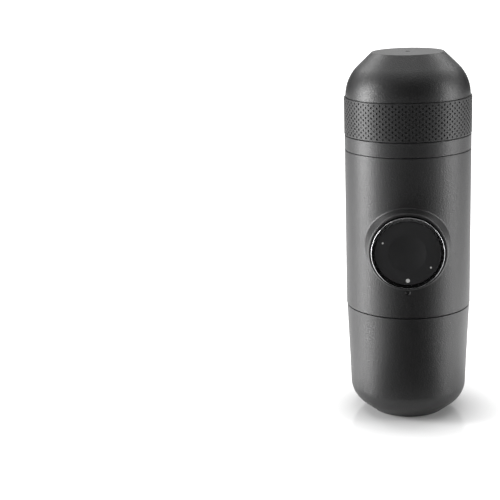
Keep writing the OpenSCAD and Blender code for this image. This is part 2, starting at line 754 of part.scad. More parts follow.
module intake_filter() color([0.75, 0.75, 0.77]) translate([0, port_y, 0]) difference() {
    high = lower_plate_z + filter_bed - fixed_gap;
    disc_z(filter_r, high - screen_t, high);
    hole_rings(2, 1.3, screen_hole_r, lower_plate_z - cut, high + cut);
}

// Umbrella valve that lets air into the tank as the water leaves
module air_vent_valve() color([0.75, 0.3, 0.25]) translate([0, -port_y, 0]) {
    disc_z(vent_head_r, lower_top_z + fixed_gap, lower_top_z + 1);
    disc_z(vent_stem_r, lower_plate_z - vent_bead_h, lower_top_z + 0.5);
    disc_z(vent_bead_r, lower_plate_z - vent_bead_h, lower_plate_z - fixed_gap);
}

module lower_screws() color([0.7, 0.7, 0.72]) for (x = [-lower_screw_x, lower_screw_x])
    translate([x, port_y, 0]) pan_screw(
        lower_plate_z - screw_head_h - fixed_gap, lower_top_z + pump_flange_h, screw_head_h);

module upper_screws() color([0.7, 0.7, 0.72]) for (x = [-upper_screw_x, upper_screw_x])
    translate([x, port_y, 0]) pan_screw(
        upper_top_z + screw_head_h + fixed_gap, upper_plate_z - pump_flange_h, screw_head_h);

// ---- Piston ----

// Glossy ring in the boss: guides the sleeve and holds the bayonet tabs and the wiper
module guide_ring() color([0.04, 0.04, 0.04]) on_piston_axis() {
    inner_r = sleeve_r + running_gap;
    groove = wiper_groove / 2;
    tab_out_r = (pocket_r + guide_r) / 2;
    rotate_extrude() polygon([
        [inner_r, guide_back_d], [guide_r, guide_back_d], [guide_r, seat_d],
        [pocket_r, seat_d], [pocket_r, pocket_d], [inner_r, pocket_d],
        [inner_r, wiper_d + groove], [lug_r, wiper_d + groove],
        [lug_r, wiper_d - groove], [inner_r, wiper_d - groove]
    ]);
    for (side = [0, 180]) rotate([0, 0, side - tab_half]) translate([0, 0, seat_d - tab_t])
        rotate_extrude(angle = 2 * tab_half)
            polygon([[tab_r, 0], [tab_out_r, 0], [tab_out_r, tab_t], [tab_r, tab_t]]);
}

module piston_wiper() color([0.1, 0.1, 0.1]) on_piston_axis() {
    inner = sleeve_r + seal_gap;
    outer = lug_r - seal_gap;
    translate([0, 0, wiper_d]) o_ring((inner + outer) / 2, (outer - inner) / 2);
}

module piston_sleeve() color([0.85, 0.85, 0.87]) on_piston_axis()
    tube_z(sleeve_r, sleeve_in_r, sleeve_back_d, knob_back_d - fixed_gap);

module plunger_rod() color([0.8, 0.8, 0.78]) on_piston_axis() difference() {
    groove = plunger_groove / 2;
    mid = plunger_back_d + plunger_len / 2;
    union() {
        disc_z(rod_r, plunger_front_d - cut, knob_back_d - fixed_gap);
        disc_z(bore_r - plunger_gap, plunger_back_d, plunger_front_d);
    }
    tube_z(bore_r + cut, bore_r - wiper_groove, mid - groove, mid + groove);
    disc_z(screw_r + fixed_gap, knob_back_d - shower_screw_len - 0.5, knob_back_d + cut);
}

module plunger_seal() color([0.1, 0.1, 0.1]) on_piston_axis() {
    outer = bore_r - running_gap;
    inner = bore_r - wiper_groove + running_gap;
    translate([0, 0, plunger_back_d + plunger_len / 2])
        o_ring((inner + outer) / 2, (outer - inner) / 2);
}

// Knob: chrome rim with the locking hub behind it
module knob_rim() color([0.8, 0.8, 0.82]) on_piston_axis() {
    bed_d = knob_back_d + knob_plate_t;
    bed_r = knob_cap_r + fixed_gap;
    lug_in_r = hub_r - free_gap;
    front_arc = [for (i = [0:6]) [knob_r - knob_edge * (1 - cos(15 * i)),
        knob_front - knob_edge * (1 - sin(15 * i))]];
    difference() {
        union() {
            rotate_extrude() polygon(concat(
                [[0, knob_back_d], [knob_r - knob_back_edge, knob_back_d],
                 [knob_r, knob_back_d + knob_back_edge]],
                front_arc,
                [[bed_r, knob_front], [bed_r, bed_d], [0, bed_d]]
            ));
            tube_z(hub_r, sleeve_r + 0.02, seat_d - hub_h, knob_back_d + 0.5);
            for (side = [90, 270]) rotate([0, 0, side - lug_half]) translate([0, 0, seat_d - lug_h])
                rotate_extrude(angle = 2 * lug_half)
                    polygon([[lug_in_r, 0], [lug_r, 0], [lug_r, lug_t], [lug_in_r, lug_t]]);
        }
        disc_z(screw_r + seal_gap, knob_back_d - cut, bed_d + cut);
        translate([0, 0, bed_d - countersink])
            cylinder(r1 = screw_r + seal_gap, r2 = screw_head_r + seal_gap, h = countersink + 0.001);
    }
}

module knob_cap() color([0.13, 0.13, 0.14]) on_piston_axis() difference() {
    dish_sphere_r = (pow(dish_r, 2) + pow(dish_depth, 2)) / (2 * dish_depth);
    rotate_extrude() polygon([
        [0, cap_back_d], [knob_cap_r, cap_back_d], [knob_cap_r, cap_face_d - cap_edge],
        [knob_cap_r - cap_edge, cap_face_d], [0, cap_face_d]
    ]);
    translate([0, 0, cap_face_d - dish_depth + dish_sphere_r]) sphere(r = dish_sphere_r);
}

module knob_screw() color([0.7, 0.7, 0.72]) on_piston_axis() {
    bed_d = knob_back_d + knob_plate_t;
    tip_d = knob_back_d - shower_screw_len;
    rotate_extrude() polygon([
        [0, tip_d], [screw_r, tip_d], [screw_r, bed_d - countersink],
        [screw_head_r, bed_d - fixed_gap], [0, bed_d - fixed_gap]
    ]);
}

// Return spring: one wire wound as a helix between the plug and the plunger
spring_r = bore_r - 0.95 - spring_wire / 2;
spring_low = plug_face_d + spring_wire / 2 + 0.1;
spring_rise = spring_room - spring_wire - 0.2;
spring_rings = 8 * spring_turns;
wire_sides = 6;

function spring_centre(k) = [
    spring_r * cos(45 * k), spring_r * sin(45 * k), spring_low + spring_rise * k / spring_rings];

// Point of the wire's skin: the ring is square to the wire, whose slope is small
function spring_point(k, s) = spring_centre(k) + spring_wire / 2 * (
    cos(360 * s / wire_sides) * [cos(45 * k), sin(45 * k), 0]
    + sin(360 * s / wire_sides) * [0, 0, 1]);

module return_spring() color([0.7, 0.7, 0.7]) on_piston_axis() {
    points = [for (k = [0:spring_rings], s = [0:wire_sides - 1]) spring_point(k, s)];
    sides = [for (k = [0:spring_rings - 1], s = [0:wire_sides - 1], half = [0, 1])
        let (a = k * wire_sides, b = a + wire_sides, t = (s + 1) % wire_sides)
        half == 0 ? [a + s, b + s, a + t] : [a + t, b + s, b + t]];
    ends = [for (s = [1:wire_sides - 2], end = [0, 1])
        let (base = end * spring_rings * wire_sides)
        end == 0 ? [base, base + s, base + s + 1] : [base, base + s + 1, base + s]];
    polyhedron(points = points, faces = concat(sides, ends));
}

// Least gap between points of the wire that are most of a turn or more apart
spring_gap = min([for (k = [0:spring_rings - 6], m = [k + 6:spring_rings])
    norm(spring_centre(k) - spring_centre(m))]) - spring_wire;
echo(spring_gap = spring_gap);

// ---- Tank ----

module tank_seal() color([0.1, 0.1, 0.1]) {
    outer = tank_bore_r - fixed_gap;
    inner = seal_floor_r + seal_gap;
    translate([0, 0, seal_z]) o_ring((outer + inner) / 2, (outer - inner) / 2);
}

module water_tank() color([0.25, 0.25, 0.26]) {
    in_arc = tank_round_r - tank_wall;
    rim = seam_z - seam_gap;
    mouth_end = seam_z - neck_h - 0.6;
    mouth_step = 1;
    rotate_extrude() polygon(concat(
        [[0, 0], [tank_flat_r - flat_edge, 0],
         [flank_r(tank_round_c, tank_round_z, tank_round_r, tank_flank, -1, flat_edge), flat_edge]],
        [for (i = [0:arc_steps])
            round_points(tank_round_c, tank_round_z, tank_round_r, tank_flank, -1)[arc_steps - i]],
        [[tank_top_r, rim - seam_edge], [tank_top_r - seam_edge, rim], [tank_bore_r, rim],
         [tank_bore_r, mouth_end], [tank_bore_r - mouth_step, mouth_end - 1.5 * mouth_step]],
        round_points(tank_round_c, tank_round_z, in_arc, tank_flank, -1),
        [[flank_r(tank_round_c, tank_round_z, in_arc, tank_flank, -1, tank_floor), tank_floor],
         [0, tank_floor]]
    ));
    thread_ribs(tank_bore_r, tank_bore_r - thread_depth, thread_z + thread_lead / 4);
}

espresso_cup();
cup_grip_ring();
outlet_head();
outlet_end_disc();
nozzle_ring();
outlet_funnel();
head_gasket();
filter_basket();
basket_screen();
body_shell();
neck_collar();
cup_seal();
upper_bulkhead();
shower_plate();
shower_screw();
pump_cylinder();
cylinder_end_plug();
rod_bush();
inlet_valve();
outlet_valve();
lower_bulkhead();
intake_filter();
air_vent_valve();
lower_screws();
upper_screws();
guide_ring();
piston_wiper();
return_spring();
piston_sleeve();
plunger_rod();
plunger_seal();
knob_rim();
knob_cap();
knob_screw();
tank_seal();
water_tank();
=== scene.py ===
import json
import math
import bmesh
import bpy
from mathutils import Matrix, Vector

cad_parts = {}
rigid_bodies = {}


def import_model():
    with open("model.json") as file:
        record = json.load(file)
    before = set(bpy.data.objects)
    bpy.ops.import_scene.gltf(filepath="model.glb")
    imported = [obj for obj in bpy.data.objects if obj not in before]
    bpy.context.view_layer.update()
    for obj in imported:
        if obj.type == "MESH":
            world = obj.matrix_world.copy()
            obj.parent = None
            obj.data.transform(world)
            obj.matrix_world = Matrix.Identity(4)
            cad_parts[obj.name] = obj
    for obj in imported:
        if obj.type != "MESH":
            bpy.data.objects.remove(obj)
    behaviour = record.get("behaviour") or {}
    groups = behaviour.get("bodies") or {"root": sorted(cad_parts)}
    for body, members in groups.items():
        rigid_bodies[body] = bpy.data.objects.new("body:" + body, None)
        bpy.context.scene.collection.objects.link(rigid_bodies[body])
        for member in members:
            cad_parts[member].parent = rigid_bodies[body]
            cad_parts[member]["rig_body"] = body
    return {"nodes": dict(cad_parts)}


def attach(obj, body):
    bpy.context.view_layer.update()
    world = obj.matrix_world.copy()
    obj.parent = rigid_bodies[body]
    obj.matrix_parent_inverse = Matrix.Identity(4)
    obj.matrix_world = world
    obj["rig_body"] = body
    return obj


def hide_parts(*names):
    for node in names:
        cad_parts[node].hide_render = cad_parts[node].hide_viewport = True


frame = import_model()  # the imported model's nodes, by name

scene = bpy.context.scene
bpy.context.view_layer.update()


def addObject(name, data):
    made = bpy.data.objects.new(name, data)
    scene.collection.objects.link(made)
    return made


# the camera, fitted to the photograph, in metres and degrees
cameraView = {
    "distance": 0.600,  # in front of the object's axis
    "height": 0.2378,
    "lookDown": 14.682,
    "lookLeft": 7.326,
    "roll": -1.926,
    "focalPixels": 1270.0,
    "photoSize": 500,
}


def placeCamera(view):
    data = bpy.data.cameras.new("photoCamera")
    data.sensor_fit = "HORIZONTAL"
    data.sensor_width = 36
    data.lens = view["focalPixels"] / view["photoSize"] * data.sensor_width
    data.clip_start = 0.01
    data.clip_end = 50
    down, left, roll = (math.radians(view[k]) for k in ("lookDown", "lookLeft", "roll"))
    ahead = Vector((-math.sin(left) * math.cos(down), math.cos(left) * math.cos(down), -math.sin(down)))
    right = Vector((math.cos(left), math.sin(left), 0))
    up = right.cross(ahead)
    rolledRight = math.cos(roll) * right + math.sin(roll) * up
    rolledUp = math.cos(roll) * up - math.sin(roll) * right
    facing = Matrix((rolledRight, rolledUp, -ahead)).transposed().to_4x4()
    camera = addObject("photoCamera", data)
    camera.matrix_world = Matrix.Translation((0, -view["distance"], view["height"])) @ facing
    scene.camera = camera


placeCamera(cameraView)
print("camera placed")


# short ways to add nodes to a material or a group
def addNode(tree, kind, inputs=None, **settings):
    node = tree.nodes.new(kind)
    for key, value in settings.items():
        setattr(node, key, value)
    for key, value in (inputs or {}).items():
        if isinstance(value, bpy.types.NodeSocket):
            tree.links.new(value, node.inputs[key])
        else:
            node.inputs[key].default_value = value
    return node


def compute(tree, operation, *values, clamp=False):
    inputs = dict(enumerate(values))
    return addNode(tree, "ShaderNodeMath", inputs, operation=operation, use_clamp=clamp).outputs[0]


def cloudy(tree, place, scale, **inputs):
    return addNode(tree, "ShaderNodeTexNoise", {"Vector": place, "Scale": scale, **inputs}).outputs[0]


def objectPlace(tree):
    return addNode(tree, "ShaderNodeTexCoord").outputs["Object"]


# shader groups, each built once and placed in the materials
def newGroup(name, inputs, outputs):
    group = bpy.data.node_groups.new(name, "ShaderNodeTree")
    for label, value in inputs.items():
        socket = group.interface.new_socket(name=label, in_out="INPUT", socket_type="NodeSocketFloat")
        socket.default_value = value
    for label in outputs:
        group.interface.new_socket(name=label, in_out="OUTPUT", socket_type="NodeSocketFloat")
    start = group.nodes.new("NodeGroupInput")
    end = group.nodes.new("NodeGroupOutput")
    return group, start.outputs, end.inputs


def buildGrain():
    # fine spark-eroded grain, plus slow drifts of tone from the moulding; Size is in millimetres
    group, given, result = newGroup("mouldGrain", {"Size": 0.3, "Drift": 0.06}, ["Height", "Tone"])
    place = objectPlace(group)
    scale = compute(group, "DIVIDE", 1000.0, given["Size"])
    grain = cloudy(group, place, scale, Detail=2.0, Roughness=0.6)
    pits = addNode(group, "ShaderNodeTexVoronoi", {"Vector": place, "Scale": scale}, feature="SMOOTH_F1")
    group.links.new(compute(group, "ADD", grain, pits.outputs["Distance"]), result["Height"])
    slow = cloudy(group, place, 55.0, Detail=3.0)
    speck = cloudy(group, place, 2600.0, Detail=1.0)
    centred = compute(group, "SUBTRACT", compute(group, "ADD", slow, speck), 1.0)
    group.links.new(compute(group, "MULTIPLY_ADD", centred, given["Drift"], 1.0), result["Tone"])
    return group


def buildRub():
    # handling wear: a thin broken band round an edge; Height and Width are in millimetres
    group, given, result = newGroup("rubbedEdge", {"Height": 0.0, "Width": 0.3, "Patchy": 0.5}, ["Mask"])
    place = objectPlace(group)
    metres = addNode(group, "ShaderNodeSeparateXYZ", {0: place}).outputs["Z"]
    away = compute(group, "SUBTRACT", compute(group, "MULTIPLY", metres, 1000.0), given["Height"])
    share = compute(group, "DIVIDE", compute(group, "ABSOLUTE", away), given["Width"])
    band = compute(group, "SUBTRACT", 1.0, share, clamp=True)
    cloud = cloudy(group, place, 240.0, Detail=4.0)
    patch = addNode(group, "ShaderNodeMapRange",
                    {"Value": cloud, "From Min": given["Patchy"], "From Max": 0.75}).outputs[0]
    group.links.new(compute(group, "MULTIPLY", band, patch, clamp=True), result["Mask"])
    return group


def buildSmudge():
    # faint wiped smears and hairlines on polished metal and glossy plastic; Size is in millimetres
    group, given, result = newGroup("wipedSmears", {"Size": 12.0, "Amount": 0.06}, ["Rough", "Line"])
    place = objectPlace(group)
    scale = compute(group, "DIVIDE", 1000.0, given["Size"])
    cloud = cloudy(group, place, scale, Detail=4.0, Distortion=0.6)
    group.links.new(compute(group, "MULTIPLY", cloud, given["Amount"]), result["Rough"])
    stretched = addNode(group, "ShaderNodeMapping", {"Vector": place, "Scale": (300.0, 4000.0, 9000.0)})
    group.links.new(cloudy(group, stretched.outputs[0], 1.0, Detail=2.0), result["Line"])
    return group


grainGroup, rubGroup, smudgeGroup = buildGrain(), buildRub(), buildSmudge()


def placeGroup(tree, group, **values):
    node = tree.nodes.new("ShaderNodeGroup")
    node.node_tree = group
    for key, value in values.items():
        node.inputs[key].default_value = value
    return node.outputs


# finishes: depths of relief are in metres, and rubAt gives the heights of worn edges in millimetres
grainDepth = 0.00022
hairlineDepth = 0.00002
rubWidth = 0.35
rubPatchy = 0.42
rubTint = 1.35  # how much paler the worn plastic is
charcoal = (0.0155, 0.0155, 0.016)


def newFinish(name):
    finish = bpy.data.materials.new(name)
    finish.use_nodes = True
    tree = finish.node_tree
    return finish, tree, tree.nodes["Principled BSDF"]


def toned(tree, colour, tone):
    # a colour whose brightness follows a value that drifts about one
    inputs = {0: 1, 6: (*colour, 1), 7: tone}
    return addNode(tree, "ShaderNodeMix", inputs, data_type="RGBA", blend_type="MULTIPLY").outputs[2]


def setSurface(tree, shader, shade, roughness, relief, depth, height, gloss):
    bump = addNode(tree, "ShaderNodeBump", {"Strength": relief, "Distance": depth, "Height": height})
    tree.links.new(shade, shader.inputs["Base Color"])
    tree.links.new(roughness, shader.inputs["Roughness"])
    tree.links.new(bump.outputs[0], shader.inputs["Normal"])
    shader.inputs["Specular IOR Level"].default_value = gloss


def mouldedPlastic(name, colour, rough, grain=0.5, relief=0.32, gloss=0.5, rubAt=()):
    finish, tree, shader = newFinish(name)
    texture = placeGroup(tree, grainGroup, Size=grain, Drift=0.10)
    shade = toned(tree, colour, texture["Tone"])
    worn = (*[c * rubTint for c in colour], 1)
    for height in rubAt:
        rub = placeGroup(tree, rubGroup, Height=height, Width=rubWidth, Patchy=rubPatchy)
        inputs = {0: rub["Mask"], 6: shade, 7: worn}
        shade = addNode(tree, "ShaderNodeMix", inputs, data_type="RGBA").outputs[2]
    roughness = compute(tree, "MULTIPLY", texture["Tone"], rough)
    setSurface(tree, shader, shade, roughness, relief, grainDepth, texture["Height"], gloss)
    return finish


def polished(name, colour, rough, metallic=1.0, relief=0.02):
    finish, tree, shader = newFinish(name)
    smears = placeGroup(tree, smudgeGroup, Size=9.0, Amount=0.05)
    texture = placeGroup(tree, grainGroup, Size=0.5, Drift=0.05)
    shade = toned(tree, colour, texture["Tone"])
    roughness = compute(tree, "ADD", smears["Rough"], rough)
    setSurface(tree, shader, shade, roughness, relief, hairlineDepth, smears["Line"], 0.5)
    shader.inputs["Metallic"].default_value = metallic
    return finish


finishes = {
    "cup": mouldedPlastic("cupPlastic", charcoal, 0.40, rubAt=(129.95, 136.6)),
    "grip": mouldedPlastic("gripPlastic", (0.015, 0.015, 0.0155), 0.47,
                           rubAt=(137.2, 154.4), relief=0.2, gloss=0.42),
    "body": mouldedPlastic("bodyPlastic", charcoal, 0.41, rubAt=(129.6,)),
    "tank": mouldedPlastic("tankPlastic", charcoal, 0.42, rubAt=(0.2,)),
    "head": mouldedPlastic("headPlastic", (0.0150, 0.0150, 0.0155), 0.42, rubAt=(136.6,)),
    "disc": mouldedPlastic("discPlastic", (0.022, 0.022, 0.023), 0.45),
    "funnel": mouldedPlastic("funnelPlastic", (0.012, 0.012, 0.013), 0.35),
    "basket": mouldedPlastic("basketPlastic", (0.012, 0.012, 0.013), 0.3, relief=0.1, gloss=0.4),
    "bulkhead": mouldedPlastic("bulkheadPlastic", (0.018, 0.018, 0.019), 0.45),
    "pump": mouldedPlastic("pumpPlastic", (0.62, 0.61, 0.56), 0.42, gloss=0.4),
    "knob": mouldedPlastic("knobPlastic", (0.021, 0.021, 0.022), 0.40, grain=0.18, relief=0.15, gloss=0.3),
    "dot": mouldedPlastic("dotPaint", (0.5, 0.5, 0.49), 0.4, grain=0.1, relief=0.05),
    "collar": polished("collarGloss", (0.010, 0.010, 0.011), 0.10, metallic=0.0),
    "neck": polished("neckGloss", (0.011, 0.011, 0.012), 0.12, metallic=0.0),
    "chrome": polished("sleeveChrome", (0.78, 0.78, 0.80), 0.06),
    "rim": polished("rimChrome", (0.45, 0.45, 0.46), 0.09, relief=0.004),
    "steel": polished("brushedSteel", (0.62, 0.62, 0.64), 0.22, relief=0.2),
    "nozzle": polished("nozzleSteel", (0.70, 0.70, 0.72), 0.10),
    "spring": polished("springSteel", (0.52, 0.52, 0.54), 0.2),
    "rubber": mouldedPlastic("sealRubber", (0.012, 0.012, 0.012), 0.6, grain=0.15, relief=0.1, gloss=0.35),
    "silicone": mouldedPlastic("valveSilicone", (0.42, 0.09, 0.05), 0.5, grain=0.2, relief=0.1, gloss=0.35),
}
print("finishes built:", len(finishes))


# modelling is in millimetres, and a new shape is scaled to metres when its piece is made
pistonHeight = 88  # the axis of the boss, the piston and the knob


def onlyVerts(found):
    return [item for item in found if isinstance(item, bmesh.types.BMVert)]


def lineTo(bm, tip, r, z):
    if (Vector((r, 0, z)) - tip.co).length < 1e-5:
        return tip
    tip = bmesh.ops.extrude_vert_indiv(bm, verts=[tip])["verts"][0]
    tip.co = (r, 0, z)
    return tip


def drawOutline(corners, arcStep=6.0):
    # corners are (radius, height) or (radius, height, fillet); every fillet becomes a true arc
    bm = bmesh.new()
    tip = bm.verts.new((corners[0][0], 0, corners[0][1]))
    for i in range(1, len(corners)):
        here = Vector(corners[i][:2])
        fillet = corners[i][2] if len(corners[i]) > 2 else 0
        if not fillet:
            tip = lineTo(bm, tip, here.x, here.y)
            continue
        before = (here - Vector(corners[i - 1][:2])).normalized()
        after = (Vector(corners[i + 1][:2]) - here).normalized()
        bend = before.angle(after)
        side = 1 if before.cross(after) > 0 else -1
        start = here - before * fillet * math.tan(bend / 2)
        centre = start + Vector((-before.y, before.x)) * side * fillet
        tip = lineTo(bm, tip, start.x, start.y)
        arc = bmesh.ops.spin(bm, geom=[tip], cent=(centre.x, 0, centre.y), axis=(0, -side, 0), angle=bend,
                             steps=max(3, math.ceil(math.degrees(bend) / arcStep)))
        tip = onlyVerts(arc["geom_last"])[0]
    return bm


def spinRound(bm, steps=180):
    bmesh.ops.spin(bm, geom=bm.verts[:] + bm.edges[:], cent=(0, 0, 0), axis=(0, 0, 1),
                   angle=2 * math.pi, steps=steps, use_merge=True)
    bmesh.ops.remove_doubles(bm, verts=bm.verts[:], dist=1e-4)
    bmesh.ops.recalc_face_normals(bm, faces=bm.faces[:])
    return bm


def turned(corners, steps=180, arcStep=6.0):
    return spinRound(drawOutline(corners, arcStep), steps)


def addSegment(bm, corners, begin, sweep, steps):
    # a short stretch of a ring, from its section's (radius, height) corners and its angles in degrees
    a = math.radians(begin)
    section = [bm.verts.new((r * math.cos(a), r * math.sin(a), z)) for r, z in corners]
    bmesh.ops.spin(bm, geom=[bm.faces.new(section)], cent=(0, 0, 0), axis=(0, 0, 1),
                   angle=math.radians(sweep), steps=steps)


def ontoPistonAxis(bm):
    # drawn upright, then laid so that its top faces the front, at the boss's height
    quarter = Matrix.Rotation(math.radians(90), 3, "X")
    bmesh.ops.rotate(bm, verts=bm.verts[:], cent=(0, 0, 0), matrix=quarter)
    bmesh.ops.translate(bm, verts=bm.verts[:], vec=(0, 0, pistonHeight))
    return bm


def asMesh(name, bm):
    mesh = bpy.data.meshes.new(name)
    bm.to_mesh(mesh)
    bm.free()
    return mesh


def addPiece(name, mesh, finish, body, nodes=(), sharp=32, weighted=True):
    mesh.shade_smooth()
    mesh.set_sharp_from_angle(angle=math.radians(sharp))
    mesh.materials.append(finishes[finish])
    piece = addObject(name, mesh)
    if weighted:
        soften = piece.modifiers.new("weightedNormals", "WEIGHTED_NORMAL")
        soften.keep_sharp = True
    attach(piece, body)
    if nodes:
        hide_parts(*nodes)


def finishPiece(name, bm, finish, body, nodes=(), sharp=32):
    bmesh.ops.scale(bm, vec=(0.001, 0.001, 0.001), verts=bm.verts[:])
    addPiece(name, asMesh(name, bm), finish, body, nodes, sharp)


# espresso cup, upside down: shell with its lip, and the grip ring round it
cup = {
    "wallRadius": 29.85, "rimHeight": 129.9, "topHeight": 175, "edge": 0.25, "softEdge": 0.15, "wall": 2.25,
    "domeFoot": 154.95, "domeStart": 154.9, "domeRadius": 29.3, "domeArc": 19.14, "domeFlank": 46,
    "flatRadius": 16.9, "flatEdge": 0.45, "gateRadius": 1.2, "gateBottom": 0.95, "gateDepth": (0.5, 0.6),
    "bedRadius": 28.85, "shoulder": 136.75, "shoulderEdge": 0.3, "floorEdge": 1.2,
    "innerRadius": 27.6, "innerLow": 149, "lipRadius": 28.6, "lipTop": 134.2, "lipEdge": 0.2,
}


def cupOutline(c):
    reach = math.tan(math.radians(c["domeFlank"] / 2))
    slope = math.tan(math.radians(c["domeFlank"]))
    top, start = c["topHeight"], c["domeStart"]
    corner = start + c["domeArc"] * reach
    innerArc = c["domeArc"] - c["wall"]
    innerCorner = start + innerArc * reach
    innerTop = top - c["wall"]
    innerWall = c["domeRadius"] - c["wall"]
    return [
        (0, innerTop), (innerWall - (innerTop - innerCorner) * slope, innerTop, c["floorEdge"]),
        (innerWall, innerCorner, innerArc), (innerWall, start),
        (c["innerRadius"], c["innerLow"]), (c["innerRadius"], c["lipTop"]),
        (c["lipRadius"], c["lipTop"], c["softEdge"]), (c["lipRadius"], c["rimHeight"], c["lipEdge"]),
        (c["wallRadius"], c["rimHeight"], c["edge"]), (c["wallRadius"], c["shoulder"], c["shoulderEdge"]),
        (c["bedRadius"], c["shoulder"]), (c["bedRadius"], c["domeFoot"]),
        (c["domeRadius"], c["domeFoot"], c["softEdge"]), (c["domeRadius"], corner, c["domeArc"]),
        (c["flatRadius"], top, c["flatEdge"]), (c["gateRadius"], top),
        (c["gateBottom"], top - c["gateDepth"][0]), (0, top - c["gateDepth"][1]),
    ]


gripRing = {
    "radius": 30, "innerRadius": 28.95, "low": 137.05, "high": 154.55, "edge": 0.35,
    "columns": 124, "halfRows": 14, "rowStep": 1.17, "patternLow": 137.62,
    "holeWidth": 0.92, "holeHeight": 1.12, "holeDepth": 0.36,
    "holeMargin": 0.2,  # rough gap between a cell's border and its hole
    "holeSteps": ((0.07, 0.6), (0.09, 0.4)),  # (how far in, share of the depth)
}


def ringOutline(g):
    # up the outer wall with a point at every half row, then over the top and back inside
    radius, low = g["radius"], g["patternLow"]
    bm = drawOutline([(g["innerRadius"], g["low"]), (radius, g["low"], g["edge"]), (radius, low)])
    tip = [v for v in bm.verts if abs(v.co.x - radius) < 1e-4 and abs(v.co.z - low) < 1e-4][0]
    for i in range(2 * g["halfRows"]):
        tip = lineTo(bm, tip, radius, low + (i + 1) * g["rowStep"] / 2)
    upper = g["high"] - g["edge"]
    tip = lineTo(bm, tip, radius, upper)
    arc = bmesh.ops.spin(bm, geom=[tip], cent=(radius - g["edge"], 0, upper), axis=(0, -1, 0),
                         angle=math.pi / 2, steps=6)
    tip = lineTo(bm, onlyVerts(arc["geom_last"])[0], g["innerRadius"], g["high"])
    lineTo(bm, tip, g["innerRadius"], g["low"])
    return bm


def holeCentres(bm, g):
    # the middle vertex of every other cell of the grid
    step = math.pi / g["columns"]
    centres = []
    for v in bm.verts:
        column = math.atan2(v.co.y, v.co.x) % (2 * math.pi) / step
        row = (v.co.z - g["patternLow"]) / (g["rowStep"] / 2)
        if v.co.xy.length < g["radius"] - 0.01 or not 0.5 < row < 2 * g["halfRows"] - 0.5:
            continue
        column, row = round(column), round(row)
        if column % 2 and row % 2 and (column // 2 + row // 2) % 2:
            centres.append(v)
    return centres


def roundCell(face, g):
    # the eight corners of a cell are drawn onto an ellipse on the wall
    middle = face.calc_center_median()
    across = Vector((-middle.y, middle.x, 0)).normalized()
    eighth = math.pi / 4
    for v in face.verts:
        offset = v.co - middle
        turn = math.atan2(offset.z / g["holeHeight"], offset.dot(across) / g["holeWidth"])
        turn = round(turn / eighth) * eighth
        spot = middle + across * math.cos(turn) * g["holeWidth"] / 2
        spot.xy = spot.xy.normalized() * g["radius"]
        v.co = (spot.x, spot.y, middle.z + math.sin(turn) * g["holeHeight"] / 2)


def dimpledRing(g):
    # a cell that loses its middle vertex becomes an eight-sided hole
    bm = spinRound(ringOutline(g), steps=2 * g["columns"])
    bmesh.ops.dissolve_verts(bm, verts=holeCentres(bm, g))
    cells = [f for f in bm.faces if len(f.verts) == 8]
    bmesh.ops.inset_individual(bm, faces=cells, thickness=g["holeMargin"], depth=0, use_even_offset=True)
    for face in cells:
        roundCell(face, g)
    for inward, share in g["holeSteps"]:
        bmesh.ops.inset_individual(bm, faces=cells, thickness=inward, depth=-share * g["holeDepth"],
                                   use_even_offset=True)
    bmesh.ops.recalc_face_normals(bm, faces=bm.faces[:])
    print("grip ring:", len(cells), "holes")
    return bm


cupMesh = turned(cupOutline(cup), steps=256, arcStep=3)
finishPiece("cupShell", cupMesh, "cup", "cup", ["espresso_cup"])
finishPiece("gripRing", dimpledRing(gripRing), "grip", "cup", ["cup_grip_ring"], sharp=40)
print("cup modelled")


# body casing with the boss that carries the piston; depths run from the upright axis to the front
casing = {
    "radius": 29.85, "innerRadius": 27.45, "low": 53.92, "high": 129.7, "edge": 0.25,
    "boreRadius": 13.45, "seatDepth": 36.0, "seatRadius": 16.9, "frontDepth": 37.8,
    "mouthEdge": ((0, 0.25), (0.08, 0.07), (0.25, 0)),  # (out from the seat, back from the front)
    "lipRadius": 18.3, "lipEdge": 1.1,
    "midFlare": (18.5, 28.5), "footFlare": (20.3, 18.5), "footFillet": 0.8,  # flares are (radius, depth)
    "startRadius": 16.0, "blendRadius": 26.5,  # circles from which the inner and outer walls spread
    "indexHeight": 66.5, "indexRadius": 1.05, "indexDepth": 0.55, "indexPatch": 2.2,
    "indexBrim": 1.15, "indexFlank": 0.4,  # shares of the index's radius
}
casingGrid = {
    "topRays": 63, "sideRays": 51, "innerLoops": 14, "lipLoops": 6, "flareLoops": 10, "footLoops": 7,
    "blendLoops": 4, "farLoops": 34, "farCrowding": 1.2, "halvings": 40,
}


def bezier(start, middle, end, t):
    return start * (1 - t) ** 2 + middle * 2 * t * (1 - t) + end * t * t


